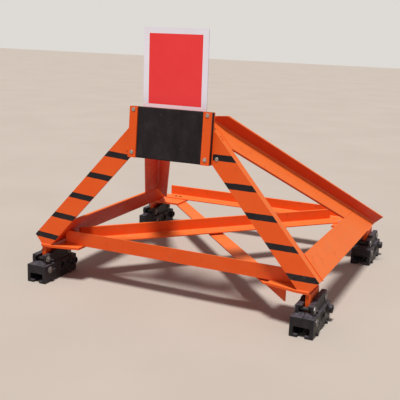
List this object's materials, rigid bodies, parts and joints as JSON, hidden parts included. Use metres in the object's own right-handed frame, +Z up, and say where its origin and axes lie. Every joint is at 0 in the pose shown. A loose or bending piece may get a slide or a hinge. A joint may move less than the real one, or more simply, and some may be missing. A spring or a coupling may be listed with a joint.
{
  "type": "railway buffer stop",
  "caption": "Clamp-on railway buffer stop: two leaning triangular frames of orange steel angle, rubber impact pad, red stop board and cast clamps for the rail heads.",
  "frame": {"origin": "middle of the footprint, at the height of the clamp soles", "axes": "+X across the track, along its longest extent, +Y along the track away from the train, +Z up"},
  "size_m": [1.6798, 1.552, 1.3883],
  "materials": {
    "orange_steel": "weathered gloss",
    "cast_clamp": "rough painted black",
    "pad_rubber": "matt",
    "board_steel": "satin",
    "bolt_steel": "zinc plated"
  },
  "bodies": {
    "root": {"board_bolts": "bolt_steel", "bracket_bolts": "bolt_steel", "diagonal_bolts": "bolt_steel", "front_beam_bolts": "bolt_steel", "front_crossbeam": "orange_steel", "front_left_clamp_bolts": "bolt_steel", "front_left_foot": "orange_steel", "front_left_inner_jaw": "cast_clamp", "front_left_outer_jaw": "cast_clamp", "front_right_clamp_bolts": "bolt_steel", "front_right_foot": "orange_steel", "front_right_inner_jaw": "cast_clamp", "front_right_outer_jaw": "cast_clamp", "head_plate": "orange_steel", "impact_pad": "pad_rubber", "left_board_bracket": "orange_steel", "left_front_saddle": "orange_steel", "left_front_strut": "orange_steel", "left_pad_strip": "orange_steel", "left_rear_saddle": "orange_steel", "left_rear_strut": "orange_steel", "left_sill": "orange_steel", "lower_diagonal": "orange_steel", "pad_bolts": "bolt_steel", "rear_beam_bolts": "bolt_steel", "rear_crossbeam": "orange_steel", "rear_left_clamp_bolts": "bolt_steel", "rear_left_foot": "orange_steel", "rear_left_inner_jaw": "cast_clamp", "rear_left_outer_jaw": "cast_clamp", "rear_right_clamp_bolts": "bolt_steel", "rear_right_foot": "orange_steel", "rear_right_inner_jaw": "cast_clamp", "rear_right_outer_jaw": "cast_clamp", "right_board_bracket": "orange_steel", "right_front_strut": "orange_steel", "right_pad_strip": "orange_steel", "right_rear_strut": "orange_steel", "right_sill": "orange_steel", "stop_board": "board_steel", "upper_diagonal": "orange_steel"}
  },
  "joints": []
}
